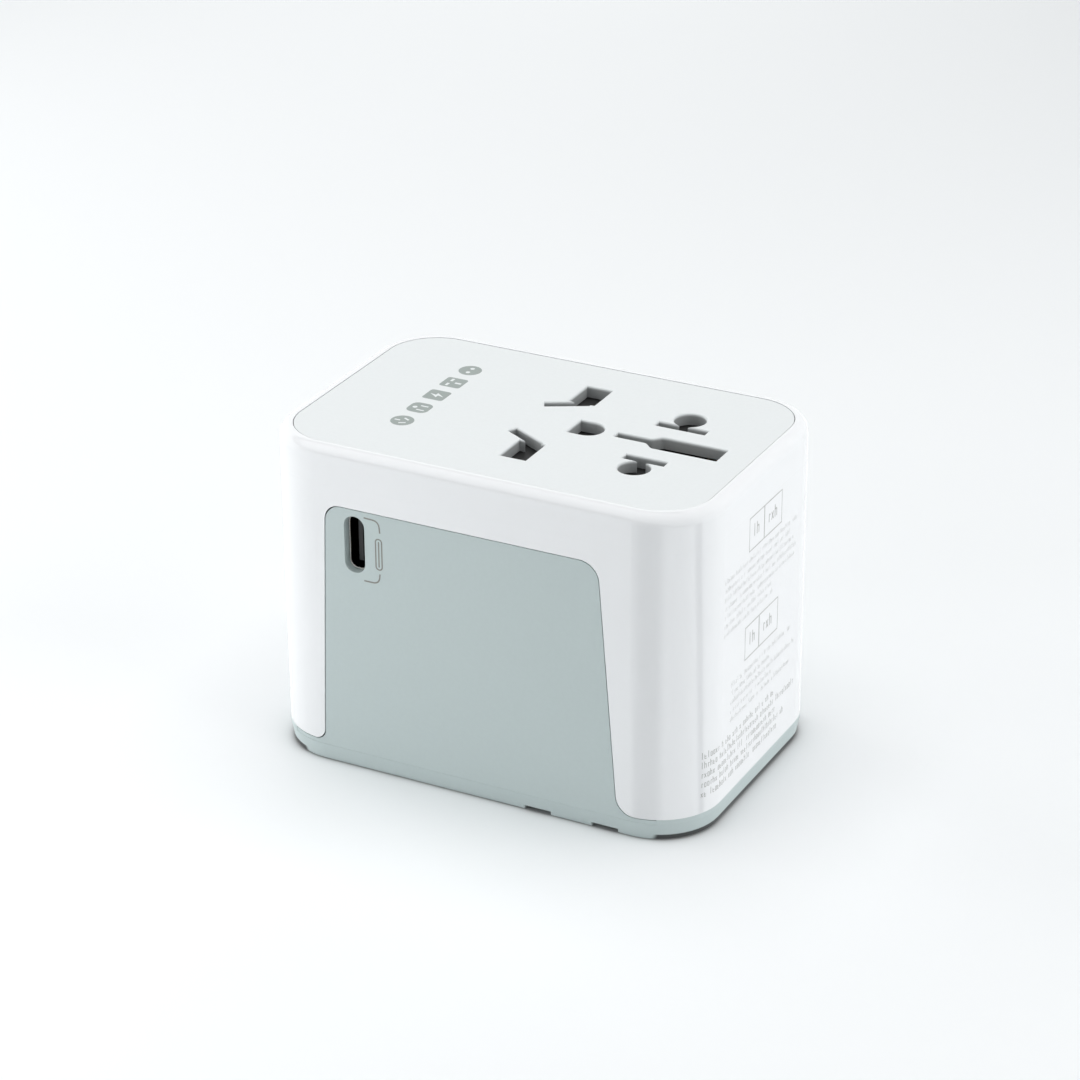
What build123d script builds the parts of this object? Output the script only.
from build123d import *
import os

# Universal travel adapter, in millimetres.
# Origin: centre of the underside.  +X runs along the long faces towards the socket end,
# -Y is the front with the single USB-C port, +Z is up.

# ---------------------------------------------------------------- case
LENGTH = 71.8
WIDTH = 47.2
HEIGHT = 52.5
CORNER_R = 10.0
WALL = 2.0
SKIRT_TOP = 3.55
CREASE_Z = 2.8
SKIRT_TAPER = 10.0
TOP_EDGE_R = 1.8
BOTTOM_EDGE_R = 0.3
SEAM = 0.12
WINDOW_GAP = 0.15
TONGUE_INSET = 0.05
TONGUE_ROOT = 0.2
FLOOR = 2.0
TONGUE_THICK = 3.4
LIP_THICK = 1.2
LIP_TOP = 6.0
LIP_GAP = 0.1
LEDGE = (1.4, 1.2)
PILOT_TOP = 14.0
NOTCH_X = (8.4, 19.5)
NOTCH = (4.4, 2.6, 0.75)
FUSE_PLATE_X = (-17.5, -9.5)
FUSE_PLATE_Y = 14.5
FUSE_PLATE_THICK = 1.15
FUSE_DOOR_X = (-15.5, -11.5)
FUSE_DOOR_Y = 12.5
DOOR_GAP = 0.2
FRONT = -WIDTH / 2
BACK = WIDTH / 2
LEFT_END = -LENGTH / 2

# Front and back windows of the upper shell, seen from the front: one upright edge and one slanted edge
WINDOW_TOP = 43.5
WINDOW_TOP_LEFT = -24.2
WINDOW_FOOT_LEFT = -25.6
WINDOW_TOP_RIGHT = 20.7
WINDOW_FOOT_RIGHT = 23.9
WINDOW_R_LEFT = 2.6
WINDOW_R_RIGHT = 3.2
WINDOW_FOOT_R_LEFT = 1.8
WINDOW_FOOT_R_RIGHT = 3.0

# ---------------------------------------------------------------- sockets on the top
PANEL_DROP = 0.05
PANEL_THICK = 1.9
HOLE_EDGE = 0.28
UK_PITCH = 22.23
UK_X = 2.2
UK_HOLE = (4.25, 6.25)
EURO_PITCH = 19.0
EURO_X = 19.5
EURO_HOLE_R = 2.45
US_PITCH = 12.7
US_SLOT = 1.6
US_SLOT_BACK = (15.5, 23.6)
US_SLOT_FRONT = (16.3, 23.0)
AU_ANGLE = 28.0
AU_CENTRE = (0.4, 6.75)
AU_SLOT = (6.8, 1.6)
D_HOLE_LEFT = 4.95
D_HOLE_R = 2.4
D_HOLE_X = 7.4
EARTH_NARROW = (11.9, 17.3, 1.6)
EARTH_WIDE = (18.6, 29.0, 4.2)

# ---------------------------------------------------------------- shutter
SHUTTER_TRAVEL = 9.0
SHUTTER_GAP = 0.15
SHUTTER_THICK = 1.5
PANEL_UNDER = HEIGHT - PANEL_DROP - PANEL_THICK
SHUTTER_Z = (PANEL_UNDER - SHUTTER_GAP - SHUTTER_THICK, PANEL_UNDER - SHUTTER_GAP)
SHUTTER_X = (-4.0, 24.3)
SHUTTER_Y = (4.0, 14.6)
SHUTTER_BRIDGE = 5.0
SHUTTER_TAB_END = 11.0
SHUTTER_HOLE_GAP = 0.2
PEG_LENGTH = 2.4
PEG_R = 1.1
PEG_BACK = 3.8
SPRING_POST_X = (-26.2, -24.9)
SPRING_POST_Y = 2.4
SPRING_POST_LENGTH = 3.2
SPRING_COILS = 7
SPRING_WIRE_R = 0.22
SPRING_R = 1.2
SPRING_LENGTH = 14.0
SPRING_END = -10.7
SPRING_DROP = 1.6

# ---------------------------------------------------------------- plugs: pins come out of the floor
UK_STROKE = 22.9
EURO_STROKE = 19.3
US_STROKE = 17.3
UK_PLUG_X = 5.0
EURO_PLUG_X = 11.4
US_PLUG_X = 18.4
UK_PIN = (4.0, 6.35)
UK_PIN_LENGTH = 17.7
UK_EARTH_PIN = (8.0, 4.0)
EURO_PIN_R = 2.0
BLADE = (6.35, 1.5)
TIP_Z = 0.3
HUB_WELL_R = 3.75
SHANK_WELL_R = 3.4
HUB_CLEARANCE = 0.08
PIN_SEAT = 3.0
UK_Z = (FLOOR + 0.4 + UK_STROKE, FLOOR + 4.4 + UK_STROKE)
EURO_Z = (FLOOR + 0.4 + EURO_STROKE, FLOOR + 5.4 + EURO_STROKE)
US_Z = (FLOOR + 0.4 + US_STROKE, FLOOR + 6.4 + US_STROKE)
KNOB_Z = 31.5
KNOB_X = {"uk": -8.0, "eu": 5.1, "us": 18.2}
KNOB_PAD = (9.2, 7.0)
KNOB_DEPTH = 2.0
STEM = (3.2, 4.0)
RISER_Y = (15.3, 19.7)
RISER_TOP = 34.0
PIN_CLEARANCE = 0.25
TWIST = 30.0
TWIST_STEPS = 4
PIN_BEVEL = 0.9
BLADE_BEVEL = 0.5
UK_TIP_LENGTH = 8.0
UK_BAR_X = (1.2, 8.6)
UK_BAR_Y = (-15.6, 14.9)
EURO_BAR_X = (9.0, 13.8)
EURO_BAR_Y = (-12.5, 14.9)
EURO_TIP_LENGTH = 9.2
EURO_TIP_R = 1.3
SLEEVE_WALL = 0.35
US_BAR_X = (14.2, 22.4)
US_BAR_Y = 11.4
HUB_SEAT = 1.2
RETAINER_SEAT = 3.5
KNOB_SLOT = 0.4
STEM_SLOT = 0.3
KNOB_R = 1.2
KNOB_GROOVES = 5
GROOVE_PITCH = 1.1
GROOVE = (6.8, 0.5)

# ---------------------------------------------------------------- inside
DECK_Z = (30.2, 31.6)
CELL_TOP = SHUTTER_Z[0] - 0.3
LEAF_TOP = CELL_TOP - 1.2
CELL_X = (-5.6, 32.6)
CELL_Y = 15.0
CELL_WALL = 1.2
STRIP_Z = (31.7, 32.5)
LEAF = 0.6
POST = (30.0, 17.7)
POST_R = 2.5
SCREW_R = 1.1
SCREW_HEAD_R = 2.1
SCREW_HEAD_Z = (0.15, 1.1)
SCREW_TOP = 12.0
SCREW_CROSS = (2.6, 0.6, 0.9)
SCREW_GAP = 0.15
FINE_GAP = 0.05

USB_C = (8.94, 3.26, 7.3)
USB_C_WALL = 0.2
USB_C1 = (-19.3, 37.75)
USB_C1_SET_BACK = 1.3
USB_A = (13.1, 5.7, 12.4)
USB_A_WALL = 0.35
PORT_LIP = 0.07
PORT_GAP = 0.3
PORT_HOLE_R = 1.5
FRONT_PORT_GAP = 0.2
FRONT_PORT_HOLE_R = 1.65
USB_A_Z = (34.5, 24.5)
USB_C2_Z = 15.0
USB_BOARD_X = (-22.0, -21.0)
USB_BOARD_Y = (-20.0, 20.0)
USB_BOARD_Z = (7.5, 44.0)
POWER_BOARD_Z = (3.0, 4.2)
POWER_BOARD_X = (-19.5, -2.2)
POWER_BOARD_Y = (-18.5, 14.9)
CORE_X = (-17.5, -3.5)
CORE_Y = (-8.0, 5.0)
COIL_X = (-18.6, -2.4)
COIL_Y = (-5.1, 2.1)
CORE_LEG_Y = (-2.9, -0.1)
CAPACITOR = (4.0, 18.0)
CAPACITOR_X = (-15.0, -6.4)
CAPACITOR_Y = -13.6
CHOKE_PLACE = (-9.0, 9.9)
CHOKE = (4.6, 2.0, 7.5)
FUSE_X = -13.5
FUSE_R = 2.3
FUSE_CAP = (2.6, 5.0)
FUSE_CAP_Y = 10.0
SHELF_Z = (22.6, 23.8)
CLIP = (6.4, 4.0, 4.8)
CLIP_WALL = 0.55
CLIP_FLOOR = 1.1

# Solids that are joined run this far into each other; a cut runs this far past a face
OVERLAP = 0.1
PAST = 1.0


# ---------------------------------------------------------------- helpers
def slab(x, y, z):
    """A box from its limits along X, Y and Z."""
    size = [abs(limits[1] - limits[0]) for limits in (x, y, z)]
    middle = [(limits[0] + limits[1]) / 2 for limits in (x, y, z)]
    return Pos(*middle) * Box(*size)


def rod(x, y, z, radius):
    """An upright cylinder between two heights."""
    return Pos(x, y, (z[0] + z[1]) / 2) * Cylinder(radius, z[1] - z[0])


def case_prism(inset, z):
    """The case's rounded outline, moved inwards, between two heights."""
    outline = RectangleRounded(LENGTH - 2 * inset, WIDTH - 2 * inset, CORNER_R - inset)
    return Pos(0, 0, z[0]) * extrude(outline, amount=z[1] - z[0])


def cut_prism(sketch, z):
    """A flat outline pushed upwards between two heights."""
    return Pos(0, 0, z[0]) * extrude(sketch, amount=z[1] - z[0])


def window_block(side, grow, low=CREASE_Z):
    """The window's outline as a block through one long wall. side is -1 at the front."""
    foot = SKIRT_TOP + grow
    points = [
        (WINDOW_FOOT_LEFT - 6, low),
        (WINDOW_FOOT_LEFT - 6, foot),
        (WINDOW_FOOT_LEFT - grow, foot),
        (WINDOW_TOP_LEFT - grow, WINDOW_TOP + grow),
        (WINDOW_TOP_RIGHT + grow, WINDOW_TOP + grow),
        (WINDOW_FOOT_RIGHT + grow, foot),
        (WINDOW_FOOT_RIGHT + 6, foot),
        (WINDOW_FOOT_RIGHT + 6, low),
    ]
    radii = [0, 0, WINDOW_FOOT_R_LEFT, WINDOW_R_LEFT, WINDOW_R_RIGHT, WINDOW_FOOT_R_RIGHT, 0, 0]
    outline = FilletPolyline(*points, radius=radii, close=True)
    face = make_face(Plane.XZ * outline)
    block = Pos(0, -WIDTH / 4, 0) * extrude(face, amount=WIDTH / 2, dir=(0, -1, 0))
    return block if side < 0 else Rot(0, 0, 180) * block


def hollow_bar(outer, wall, depth):
    """A folded sheet-metal port shell: a rounded tube along Z with its back end closed."""
    radius = min(outer) * 0.42 if outer[1] < 4 else 0.6
    tube = extrude(RectangleRounded(*outer, radius), amount=depth)
    inner = RectangleRounded(outer[0] - 2 * wall, outer[1] - 2 * wall, radius - wall)
    tube -= Pos(0, 0, wall) * extrude(inner, amount=depth)
    return fillet(tube.edges().group_by(Axis.Z)[-1], PORT_LIP)


def one(shape):
    """The shape as a single solid."""
    return shape.solids()[0] if len(shape.solids()) == 1 else Compound(shape.solids())


def save(name, shape):
    """Write one node."""
    shape = one(shape)
    shape.label = name
    export_step(shape, f"parts/{name}.step")


# ---------------------------------------------------------------- case shells
def screw_places():
    return [(sx * POST[0], sy * POST[1]) for sx in (-1, 1) for sy in (-1, 1)]


def upper_shell():
    outer = case_prism(0, (SKIRT_TOP, HEIGHT))
    rim = outer.edges().group_by(Axis.Z)[-1]
    outer = fillet(rim, TOP_EDGE_R)
    shell = outer - case_prism(WALL, (SKIRT_TOP, HEIGHT))
    ledge_z = PANEL_UNDER - SEAM
    ledge = case_prism(WALL - OVERLAP, (ledge_z - LEDGE[1], ledge_z))
    ledge -= case_prism(WALL + LEDGE[0], (0, HEIGHT))
    shell += ledge
    for side in (-1, 1):
        shell -= window_block(side, 0)
    for x, y in screw_places():
        post = rod(x, y, (FLOOR + FINE_GAP, ledge_z), POST_R) & case_prism(WALL - OVERLAP, (0, HEIGHT))
        shell += post
    for x, y in screw_places():
        shell -= rod(x, y, (0, PILOT_TOP), SCREW_R)
    port_x = LEFT_END + WALL / 2
    for z in USB_A_Z:
        shell -= Pos(port_x, 0, z) * Box(WALL * 2, USB_A[0] + PORT_GAP, USB_A[1] + PORT_GAP)
    hole = RectangleRounded(USB_C[0] + PORT_GAP, USB_C[1] + PORT_GAP, PORT_HOLE_R)
    slot = extrude(Plane.YZ * hole, amount=WALL * 2)
    shell -= Pos(port_x - WALL, 0, USB_C2_Z) * slot
    return shell


def pin_hole(width, depth):
    """A flat pin's section with its clearance."""
    return Rectangle(width + 2 * PIN_CLEARANCE, depth + 2 * PIN_CLEARANCE)


def pin_openings():
    """The holes in the floor that the pins come out of."""
    cuts = []
    for sy in (-1, 1):
        uk = pin_hole(*UK_PIN)
        cuts.append(Pos(UK_PLUG_X, sy * UK_PITCH / 2) * uk)
        cuts.append(Pos(EURO_PLUG_X, sy * EURO_PITCH / 2) * Circle(EURO_PIN_R + PIN_CLEARANCE))
        for step in range(TWIST_STEPS + 1):
            turn = Rot(0, 0, sy * TWIST * step / TWIST_STEPS)
            cuts.append(Pos(US_PLUG_X, sy * US_PITCH / 2) * turn * pin_hole(*BLADE))
    cuts.append(Pos(UK_PLUG_X + UK_PITCH, 0) * pin_hole(*UK_EARTH_PIN))
    return cuts


def knob_stroke(name):
    return {"uk": UK_STROKE, "eu": EURO_STROKE, "us": US_STROKE}[name]


def fuse_recess(grow, z):
    x = (FUSE_PLATE_X[0] - grow, FUSE_PLATE_X[1] + grow)
    return slab(x, (-FUSE_PLATE_Y - grow, FUSE_PLATE_Y + grow), z)


def channel(x, low, section, gap, depth):
    """The slot in the back wall that a knob or its stem slides in."""
    half_width = section[0] / 2 + gap
    half_height = section[1] / 2 + gap
    walls = (x - half_width, x + half_width)
    return slab(walls, (BACK - depth, BACK + PAST), (low - half_height, KNOB_Z + half_height))


def base_shell():
    outline = Pos(0, 0, CREASE_Z) * RectangleRounded(LENGTH, WIDTH, CORNER_R)
    foot = extrude(outline, amount=CREASE_Z, dir=(0, 0, -1), taper=SKIRT_TAPER)
    foot = fillet(foot.edges().group_by(Axis.Z)[0], BOTTOM_EDGE_R)
    tray = foot + case_prism(0, (CREASE_Z, SKIRT_TOP))
    tray -= case_prism(WALL + LIP_THICK, (FLOOR, HEIGHT))
    tray += case_prism(WALL + LIP_GAP, (FLOOR, LIP_TOP)) - case_prism(WALL + LIP_THICK, (0, HEIGHT))
    ring = case_prism(TONGUE_INSET, (CREASE_Z - PAST, HEIGHT)) - case_prism(TONGUE_THICK, (0, HEIGHT))
    edge = case_prism(-PAST, (CREASE_Z, HEIGHT)) - case_prism(WALL, (0, HEIGHT))
    for side in (-1, 1):
        tray -= edge & window_block(side, 0)
        tray += ring & window_block(side, -WINDOW_GAP, CREASE_Z - TONGUE_ROOT)
    for x, y in screw_places():
        tray -= rod(x, y, (FLOOR, LIP_TOP + PAST), POST_R + SCREW_GAP)
        tray -= rod(x, y, (-PAST, FLOOR + PAST), SCREW_R + SCREW_GAP)
        tray -= rod(x, y, (-PAST, SCREW_HEAD_Z[1]), SCREW_HEAD_R + SCREW_GAP)
    for opening in pin_openings():
        tray -= cut_prism(opening, (-PAST, FLOOR + PAST))
    for x in NOTCH_X:
        tray -= slab((x, x + NOTCH[0]), (FRONT - PAST, FRONT + NOTCH[1]), (-PAST, NOTCH[2]))
    tray -= fuse_recess(SEAM, (-PAST, FUSE_PLATE_THICK + FINE_GAP))
    tray -= slab(FUSE_DOOR_X, (-FUSE_DOOR_Y, FUSE_DOOR_Y), (-PAST, FLOOR + PAST))
    for name, x in KNOB_X.items():
        reach = KNOB_Z - knob_stroke(name)
        tray -= channel(x, reach, KNOB_PAD, KNOB_SLOT, KNOB_DEPTH)
        tray -= channel(x, reach, STEM, STEM_SLOT, TONGUE_THICK + PAST)
    x, z = USB_C1
    hole = RectangleRounded(USB_C[1] + FRONT_PORT_GAP, USB_C[0] + FRONT_PORT_GAP, FRONT_PORT_HOLE_R)
    through = extrude(Plane.XZ * hole, amount=TONGUE_THICK + 2 * PAST)
    tray -= Pos(x, FRONT + TONGUE_THICK + PAST, z) * through
    return tray


# ---------------------------------------------------------------- outlet panel
def socket_outlines():
    """Every socket opening on the top, as flat outlines."""
    shapes = []
    for sy in (-1, 1):
        live = Pos(UK_X, sy * UK_PITCH / 2) * Rectangle(*UK_HOLE)
        slant = Pos(AU_CENTRE[0], sy * AU_CENTRE[1]) * Rot(0, 0, sy * AU_ANGLE) * Rectangle(*AU_SLOT)
        shapes.append(live + slant)
        start, end = US_SLOT_BACK if sy > 0 else US_SLOT_FRONT
        blade = Pos((start + end) / 2, sy * US_PITCH / 2) * Rectangle(end - start, US_SLOT)
        shapes.append(blade + Pos(EURO_X, sy * EURO_PITCH / 2) * Circle(EURO_HOLE_R))
    ground = Pos(D_HOLE_X, 0) * Circle(D_HOLE_R)
    middle = (D_HOLE_LEFT + D_HOLE_X) / 2
    ground += Pos(middle, 0) * Rectangle(D_HOLE_X - D_HOLE_LEFT, 2 * D_HOLE_R)
    ground -= Pos(D_HOLE_LEFT - 2, 0) * Rectangle(4, 4 * D_HOLE_R)
    shapes.append(ground)
    shapes.append(earth_outline())
    return shapes


def earth_outline():
    """A narrow slot that widens through a double curve into the wide one."""
    thin = EARTH_NARROW[2] / 2
    wide = EARTH_WIDE[2] / 2
    neck = (EARTH_NARROW[1] + EARTH_WIDE[0]) / 2
    run = (EARTH_WIDE[0] - EARTH_NARROW[1]) / 2
    upper = [
        (EARTH_NARROW[0], thin),
        (neck - run, thin),
        (neck + run, wide),
        (EARTH_WIDE[1], wide),
    ]
    lower = [(x, -y) for x, y in reversed(upper)]
    outline = FilletPolyline(*upper, *lower, radius=[0, 0.9, 0.9, 0, 0, 0.9, 0.9, 0], close=True)
    return make_face(outline)


def outlet_panel():
    """The socket face, with a post under it that the shutter's spring pushes against."""
    panel = case_prism(WALL + SEAM, (PANEL_UNDER, HEIGHT - PANEL_DROP))
    for outline in socket_outlines():
        panel -= cut_prism(outline, (PANEL_UNDER - PAST, HEIGHT + PAST))
    top = panel.faces().sort_by(Axis.Z)[-1]
    rims = [edge for wire in top.inner_wires() for edge in wire.edges()]
    panel = fillet(rims, HOLE_EDGE)
    post_z = (SHUTTER_Z[0] - SPRING_POST_LENGTH, PANEL_UNDER + OVERLAP)
    return panel + slab(SPRING_POST_X, (-SPRING_POST_Y, SPRING_POST_Y), post_z)


def shutter_plate():
    """Two bars over the live and neutral openings and a tab over the D-shaped one, joined at the left."""
    left, right = SHUTTER_X
    near, far = SHUTTER_Y
    bars = slab((left - SHUTTER_BRIDGE, left), (-far, far), SHUTTER_Z)
    bars += slab((left - OVERLAP, SHUTTER_TAB_END), (-near - OVERLAP, near + OVERLAP), SHUTTER_Z)
    for sy in (-1, 1):
        bars += slab((left, right), (sy * near, sy * far), SHUTTER_Z)
        live = Pos(UK_X, sy * UK_PITCH / 2) * Rectangle(*(side + SHUTTER_HOLE_GAP for side in UK_HOLE))
        slant = Pos(AU_CENTRE[0], sy * AU_CENTRE[1]) * Rot(0, 0, sy * AU_ANGLE)
        slant = slant * Rectangle(*(side + SHUTTER_HOLE_GAP for side in AU_SLOT))
        open_at = Pos(SHUTTER_TRAVEL, 0) * (live + slant)
        bars -= cut_prism(open_at, (SHUTTER_Z[0] - PAST, SHUTTER_Z[1] + PAST))
    bars += rod(left - PEG_BACK, 0, (SHUTTER_Z[0] - PEG_LENGTH, SHUTTER_Z[0] + OVERLAP), PEG_R)
    return bars


def shutter_spring():
    """A coil spring between the shutter's peg and the post under the outlet panel."""
    path = Helix(pitch=SPRING_LENGTH / SPRING_COILS, height=SPRING_LENGTH, radius=SPRING_R)
    profile = Plane(origin=path @ 0, z_dir=path % 0) * Circle(SPRING_WIRE_R)
    coil = sweep(profile, path=path, is_frenet=True)
    place = Pos(SPRING_END - SPRING_LENGTH, 0, SHUTTER_Z[0] - SPRING_DROP)
    return place * Rot(0, 90, 0) * coil


# ---------------------------------------------------------------- frame and contacts
def inner_frame():
    """The deck over the plugs, the three contact cells and the two legs."""
    deck = slab(CELL_X, (-CELL_Y, CELL_Y), DECK_Z)
    cells = slab(CELL_X, (-CELL_Y, CELL_Y), (DECK_Z[1] - 0.1, CELL_TOP))
    bays = [(-CELL_Y + CELL_WALL, -4.3), (-3.3, 3.3), (4.3, CELL_Y - CELL_WALL)]
    for bay in bays:
        cells -= slab((CELL_X[0] + CELL_WALL, CELL_X[1] - CELL_WALL), bay, (0, HEIGHT))
    frame = deck + cells
    frame -= slab((19.6, 28.6), (-2.6, 2.6), (0, DECK_Z[1] + 0.1))
    frame += slab((-1.3, 0.2), (-12.6, 12.6), (FLOOR + 0.05, DECK_Z[0] + 0.1))
    frame += slab((CELL_X[1] - 0.1, CELL_X[1] + 1.1), (-11.0, 11.0), (LIP_TOP + 0.05, CELL_TOP))
    return frame


def pole_contact(side):
    """A strip on the deck with sprung leaves for the flat and the round pins."""
    near = 4.5
    far = CELL_Y - CELL_WALL - 0.2
    strip = slab((-4.2, 24.5), (side * near, side * far), STRIP_Z)
    uk_gap = UK_PIN[0] / 2 + 0.1
    for x in (UK_X - uk_gap - LEAF, UK_X + uk_gap):
        strip += slab((x, x + LEAF), (side * 8.2, side * far), (STRIP_Z[1] - 0.1, LEAF_TOP))
    for y in (4.7, 12.0):
        strip += slab((16.4, 23.0), (side * y, side * (y + LEAF)), (STRIP_Z[1] - 0.1, LEAF_TOP))
    return strip


def earth_contact():
    strip = slab((4.0, 19.2), (-3.0, 3.0), STRIP_Z)
    for sy in (-1, 1):
        strip += slab((5.2, 10.0), (sy * 2.4, sy * 3.0), (STRIP_Z[1] - 0.1, LEAF_TOP))
        strip += slab((12.0, 16.8), (sy * 0.9, sy * 1.5), (STRIP_Z[1] - 0.1, LEAF_TOP))
        strip += slab((17.2, 29.0), (sy * 2.4, sy * 3.0), (STRIP_Z[1] - 0.9, LEAF_TOP))
    return strip


# ---------------------------------------------------------------- electronics
def power_board():
    return slab(POWER_BOARD_X, POWER_BOARD_Y, POWER_BOARD_Z)


def transformer_core():
    z0 = POWER_BOARD_Z[1]
    core = slab(CORE_X, CORE_Y, (z0 + 0.6, z0 + 17.6))
    core -= slab(COIL_X, (COIL_Y[0] - OVERLAP, COIL_Y[1] + OVERLAP), (z0 + 3.4, z0 + 14.8))
    core += slab(CORE_X, CORE_LEG_Y, (z0 + 3.3, z0 + 14.9))
    return core


def transformer_coil():
    z0 = POWER_BOARD_Z[1]
    coil = slab(COIL_X, COIL_Y, (z0 + 3.6, z0 + 14.6))
    gap = FINE_GAP
    leg = slab((CORE_X[0] - gap, CORE_X[1] + gap), (CORE_LEG_Y[0] - gap, CORE_LEG_Y[1] + gap), (0, HEIGHT))
    return coil - leg


def bulk_capacitors():
    z0 = POWER_BOARD_Z[1]
    radius, height = CAPACITOR
    cans = [rod(x, CAPACITOR_Y, (z0, z0 + height), radius) for x in CAPACITOR_X]
    return Compound([fillet(can.edges().group_by(Axis.Z)[-1], 0.6).solids()[0] for can in cans])


def choke():
    z0 = POWER_BOARD_Z[1]
    outer, bore, height = CHOKE
    return rod(*CHOKE_PLACE, (z0, z0 + height), outer) - rod(*CHOKE_PLACE, (0, HEIGHT), bore)


def fuse():
    """A cartridge fuse lying over its cover, with two end caps."""
    body = Cylinder(FUSE_R, 2 * FUSE_CAP_Y - 2)
    for z in (-FUSE_CAP_Y, FUSE_CAP_Y):
        body += Pos(0, 0, z) * Cylinder(*FUSE_CAP)
    height = SHELF_Z[1] + CLIP_FLOOR + FUSE_CAP[0] + OVERLAP
    return Pos(FUSE_X, 0, height) * Rot(90, 0, 0) * body


def fuse_clips():
    """Two U-shaped clips that stand on the transformer's insulating plate."""
    clips = []
    half = CLIP[0] / 2
    inner = half - CLIP_WALL
    z0 = SHELF_Z[1]
    for y in (-FUSE_CAP_Y, FUSE_CAP_Y):
        clip = slab((FUSE_X - half, FUSE_X + half), (y - CLIP[1] / 2, y + CLIP[1] / 2), (z0, z0 + CLIP[2]))
        gap_x = (FUSE_X - inner, FUSE_X + inner)
        clip -= slab(gap_x, (y - CLIP[1], y + CLIP[1]), (z0 + CLIP_FLOOR, HEIGHT))
        clips.append(clip.solids()[0])
    return Compound(clips)


def fuse_shelf():
    """An insulating shelf over the transformer that carries the fuse clips."""
    shelf = slab((-19.8, -2.4), (-14.0, 14.0), SHELF_Z)
    return shelf + slab((-19.8, -18.8), (6.0, 14.0), (POWER_BOARD_Z[1], SHELF_Z[0] + OVERLAP))


def fuse_cover():
    """A plug-in plate on the underside, over the service opening."""
    cover = fuse_recess(0, (0.0, FUSE_PLATE_THICK))
    x = (FUSE_DOOR_X[0] + DOOR_GAP, FUSE_DOOR_X[1] - DOOR_GAP)
    y = (-FUSE_DOOR_Y + DOOR_GAP, FUSE_DOOR_Y - DOOR_GAP)
    cover += slab(x, y, (FUSE_PLATE_THICK - FINE_GAP, FLOOR))
    return cover - slab((-14.5, -12.5), (12.9, 15.0), (-1, 0.6))


def usb_board():
    return slab(USB_BOARD_X, USB_BOARD_Y, USB_BOARD_Z)


def usb_c_parts():
    """Shell and tongue of one USB-C port, mouth along +Z at the height of its depth."""
    shell = hollow_bar((USB_C[0], USB_C[1]), USB_C_WALL, USB_C[2])
    tongue = Pos(0, 0, USB_C_WALL + 3.2) * Box(6.7, 0.7, 6.4)
    return shell, tongue


def usb_a_parts():
    shell = hollow_bar((USB_A[0], USB_A[1]), USB_A_WALL, USB_A[2])
    tongue = Pos(0, 1.0, USB_A_WALL + 5.2) * Box(11.1, 1.8, 10.4)
    return shell, tongue


def front_port(shape):
    """Turn a port's mouth to the front, wide side upright."""
    turned = Rot(90, 0, 0) * Rot(0, 0, 90) * shape
    return Pos(USB_C1[0], FRONT + USB_C1_SET_BACK + USB_C[2], USB_C1[1]) * turned


def end_port(shape, depth, z):
    """Turn a port's mouth to the left end, wide side level."""
    turned = Rot(0, -90, 0) * Rot(0, 0, 90) * shape
    return Pos(LEFT_END + 0.4 + depth, 0, z) * turned


# ---------------------------------------------------------------- plugs
def riser(name, link_x, z):
    """The arm at the back of a carriage that carries its knob, with a pocket for the stem."""
    x = KNOB_X[name]
    arm = slab(link_x, RISER_Y, z)
    arm += slab((x - 3.2, x + 3.2), RISER_Y, (z[0], RISER_TOP))
    pocket = (x - STEM[0] / 2 - 0.05, x + STEM[0] / 2 + 0.05)
    half = STEM[1] / 2 + 0.05
    return arm - slab(pocket, (16.9, 21), (KNOB_Z - half, KNOB_Z + half))


def knob(name):
    x = KNOB_X[name]
    y0 = BACK - KNOB_DEPTH + 0.5
    outline = RectangleRounded(*KNOB_PAD, KNOB_R)
    pad = Pos(x, BACK - 0.3, KNOB_Z) * extrude(Plane.XZ * outline, amount=BACK - 0.3 - y0)
    groove = Pos(x, BACK - 0.4, KNOB_Z) * Box(GROOVE[0], 0.8, GROOVE[1])
    for step in range(KNOB_GROOVES):
        pad -= Pos(0, 0, (step - KNOB_GROOVES // 2) * GROOVE_PITCH) * groove
    stem = slab(
        (x - STEM[0] / 2, x + STEM[0] / 2),
        (17.0, y0 + 0.1),
        (KNOB_Z - STEM[1] / 2, KNOB_Z + STEM[1] / 2),
    )
    return pad + stem


def uk_carriage():
    """A C-shaped slider: crossbar for live and neutral, front rail, earth arm."""
    bar = slab(UK_BAR_X, UK_BAR_Y, UK_Z)
    bar += slab((1.2, 27.2), (-15.6, -12.9), UK_Z)
    bar += slab((22.8, 32.0), (-13.0, 3.2), UK_Z) - slab((26.9, 33), (-16, -12.9), UK_Z)
    bar += slab((-2.0, 1.4), (12.9, RISER_Y[1]), UK_Z)
    bar += riser("uk", (KNOB_X["uk"] - 3.2, 1.4), UK_Z)
    seat = (UK_Z[0] - 1, UK_Z[0] + PIN_SEAT)
    for sy in (-1, 1):
        y = sy * UK_PITCH / 2
        bar -= Pos(UK_PLUG_X, y, (seat[0] + seat[1]) / 2) * Box(*UK_PIN, seat[1] - seat[0])
    earth_x = UK_PLUG_X + UK_PITCH
    bar -= Pos(earth_x, 0, (seat[0] + seat[1]) / 2) * Box(*UK_EARTH_PIN, seat[1] - seat[0])
    return bar


def flat_pin(x, y, section, z):
    """A rectangular pin with a bevelled tip."""
    pin = Pos(x, y, (z[0] + z[1]) / 2) * Box(*section, z[1] - z[0])
    return chamfer(pin.edges().group_by(Axis.Z)[0], PIN_BEVEL)


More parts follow.
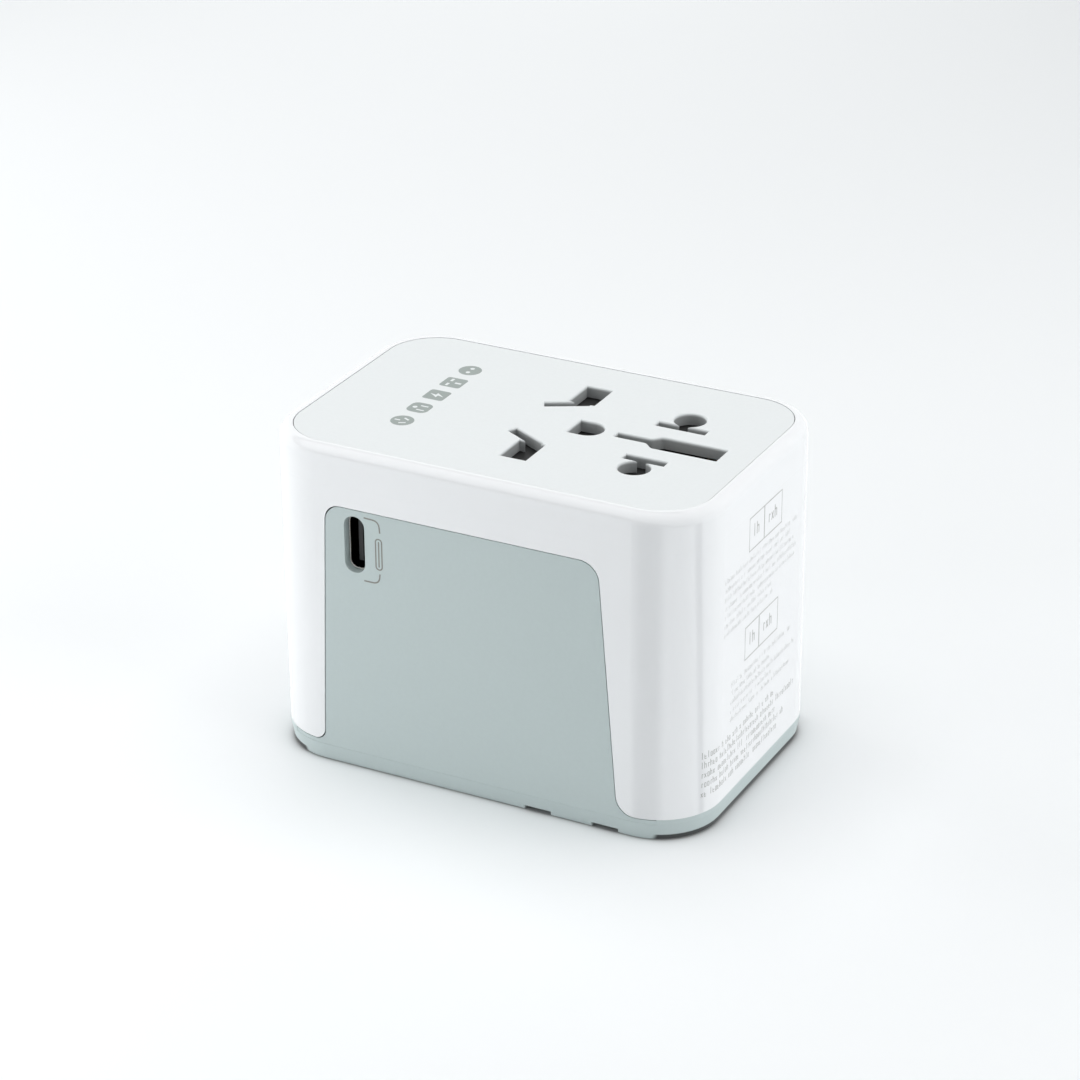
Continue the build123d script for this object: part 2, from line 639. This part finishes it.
def uk_power_pin(side):
    """Full section at the tip, thinner where the sleeve sits."""
    y = side * UK_PITCH / 2
    z0 = UK_STROKE - UK_PIN_LENGTH
    pin = flat_pin(UK_PLUG_X, y, UK_PIN, (z0, UK_Z[0] + PIN_SEAT))
    tip = z0 + UK_TIP_LENGTH
    neck = Pos(UK_PLUG_X, y, (UK_Z[0] + tip) / 2) * Box(5, 8, UK_Z[0] - tip)
    core = Pos(UK_PLUG_X, y, UK_Z[0] / 2) * Box(UK_PIN[0] - 1, UK_PIN[1] - 1, UK_Z[0] * 2)
    return pin - (neck - core)


def uk_pin_sleeves():
    tip = UK_STROKE - UK_PIN_LENGTH + UK_TIP_LENGTH
    length = UK_Z[0] - tip
    sleeves = []
    for side in (-1, 1):
        place = Pos(UK_PLUG_X, side * UK_PITCH / 2, (UK_Z[0] + tip) / 2)
        sleeve = place * (Box(*UK_PIN, length) - Box(UK_PIN[0] - 1, UK_PIN[1] - 1, length))
        sleeves.append(sleeve.solids()[0])
    return Compound(sleeves)


def uk_earth_pin():
    z = (TIP_Z - 0.1, UK_Z[0] + PIN_SEAT)
    return flat_pin(UK_PLUG_X + UK_PITCH, 0, UK_EARTH_PIN, z)


def eu_carriage():
    bar = slab(EURO_BAR_X, EURO_BAR_Y, EURO_Z)
    bar += slab((9.0, 10.8), (14.8, RISER_Y[1]), EURO_Z)
    bar += riser("eu", (KNOB_X["eu"] - 3.2, 10.8), EURO_Z)
    for sy in (-1, 1):
        bar -= rod(EURO_PLUG_X, sy * EURO_PITCH / 2, (EURO_Z[0] - 1, EURO_Z[0] + PIN_SEAT), EURO_PIN_R)
    return bar


def eu_pin(side):
    """A round pin with a domed tip and a thinner neck under its sleeve."""
    y = side * EURO_PITCH / 2
    tip_top = TIP_Z + EURO_TIP_LENGTH
    tip = rod(EURO_PLUG_X, y, (TIP_Z, tip_top), EURO_PIN_R)
    tip = fillet(tip.edges().group_by(Axis.Z)[0], EURO_TIP_R)
    neck = rod(EURO_PLUG_X, y, (tip_top - OVERLAP, EURO_Z[0] + OVERLAP), EURO_PIN_R - SLEEVE_WALL)
    return tip + neck + rod(EURO_PLUG_X, y, (EURO_Z[0], EURO_Z[0] + PIN_SEAT), EURO_PIN_R)


def eu_pin_sleeves():
    sleeves = []
    for sy in (-1, 1):
        y = sy * EURO_PITCH / 2
        z = (TIP_Z + EURO_TIP_LENGTH, EURO_Z[0])
        outer = rod(EURO_PLUG_X, y, z, EURO_PIN_R - FINE_GAP)
        sleeve = outer - rod(EURO_PLUG_X, y, z, EURO_PIN_R - SLEEVE_WALL)
        sleeves.append(sleeve.solids()[0])
    return Compound(sleeves)


def us_carriage():
    """A slider with two round wells in which the blades' hubs turn."""
    bar = slab(US_BAR_X, (-US_BAR_Y, US_BAR_Y), US_Z)
    bar += slab((16.6, 21.4), (11.3, RISER_Y[1]), US_Z)
    bar += riser("us", (KNOB_X["us"] - 3.2, KNOB_X["us"] + 3.2), US_Z)
    for sy in (-1, 1):
        y = sy * US_PITCH / 2
        bar -= rod(US_PLUG_X, y, (US_Z[0] + HUB_SEAT, US_Z[1] + PAST), HUB_WELL_R)
        bar -= rod(US_PLUG_X, y, (0, HEIGHT), SHANK_WELL_R)
    return bar


def us_blade(side):
    """A flat blade under a round hub with a thin flange that rests on the well's step."""
    y = side * US_PITCH / 2
    blade = Pos(US_PLUG_X, y, (TIP_Z + US_Z[0]) / 2) * Box(*BLADE, US_Z[0] - TIP_Z)
    blade = chamfer(blade.edges().group_by(Axis.Z)[0], BLADE_BEVEL)
    seat = US_Z[0] + HUB_SEAT + FINE_GAP
    shank = rod(US_PLUG_X, y, (US_Z[0] - OVERLAP, seat + OVERLAP), SHANK_WELL_R - HUB_CLEARANCE)
    flange = rod(US_PLUG_X, y, (seat, US_Z[0] + RETAINER_SEAT - OVERLAP), HUB_WELL_R - HUB_CLEARANCE)
    return blade + shank + flange


def blade_retainers():
    """Two discs pressed into the wells above the hubs."""
    discs = []
    for sy in (-1, 1):
        disc = rod(US_PLUG_X, sy * US_PITCH / 2, (US_Z[0] + RETAINER_SEAT, US_Z[1]), HUB_WELL_R)
        discs.append(disc.solids()[0])
    return Compound(discs)


def case_screws():
    screws = []
    for x, y in screw_places():
        head = rod(x, y, SCREW_HEAD_Z, SCREW_HEAD_R)
        long, short, deep = SCREW_CROSS
        head -= Pos(x, y, SCREW_HEAD_Z[0]) * Box(long, short, deep)
        head -= Pos(x, y, SCREW_HEAD_Z[0]) * Box(short, long, deep)
        screw = head + rod(x, y, (SCREW_HEAD_Z[1] - FINE_GAP, SCREW_TOP), SCREW_R)
        screws.append(screw.solids()[0])
    return Compound(screws)


# ---------------------------------------------------------------- write every node
def main():
    os.makedirs("parts", exist_ok=True)
    save("upper_shell", upper_shell())
    save("base_shell", base_shell())
    save("outlet_panel", outlet_panel())
    save("shutter_plate", shutter_plate())
    save("shutter_spring", shutter_spring())
    save("inner_frame", inner_frame())
    save("live_contact", pole_contact(-1))
    save("neutral_contact", pole_contact(1))
    save("earth_contact", earth_contact())
    save("power_board", power_board())
    save("transformer_core", transformer_core())
    save("transformer_coil", transformer_coil())
    save("bulk_capacitors", bulk_capacitors())
    save("choke", choke())
    save("fuse", fuse())
    save("fuse_clips", fuse_clips())
    save("fuse_shelf", fuse_shelf())
    save("fuse_cover", fuse_cover())
    save("usb_board", usb_board())
    save("case_screws", case_screws())
    shell, tongue = usb_c_parts()
    save("usb_c1_shell", front_port(shell))
    save("usb_c1_tongue", front_port(tongue))
    save("usb_c2_shell", end_port(shell, USB_C[2], USB_C2_Z))
    save("usb_c2_tongue", end_port(tongue, USB_C[2], USB_C2_Z))
    shell, tongue = usb_a_parts()
    for number, z in enumerate(USB_A_Z, start=1):
        save(f"usb_a{number}_shell", end_port(shell, USB_A[2], z))
        save(f"usb_a{number}_tongue", end_port(tongue, USB_A[2], z))
    save("uk_carriage", uk_carriage())
    save("uk_live_pin", uk_power_pin(-1))
    save("uk_neutral_pin", uk_power_pin(1))
    save("uk_earth_pin", uk_earth_pin())
    save("uk_pin_sleeves", uk_pin_sleeves())
    save("eu_carriage", eu_carriage())
    save("eu_live_pin", eu_pin(-1))
    save("eu_neutral_pin", eu_pin(1))
    save("eu_pin_sleeves", eu_pin_sleeves())
    save("us_carriage", us_carriage())
    save("us_live_blade", us_blade(-1))
    save("us_neutral_blade", us_blade(1))
    save("blade_retainers", blade_retainers())
    for name in KNOB_X:
        save(f"{name}_knob", knob(name))


main()
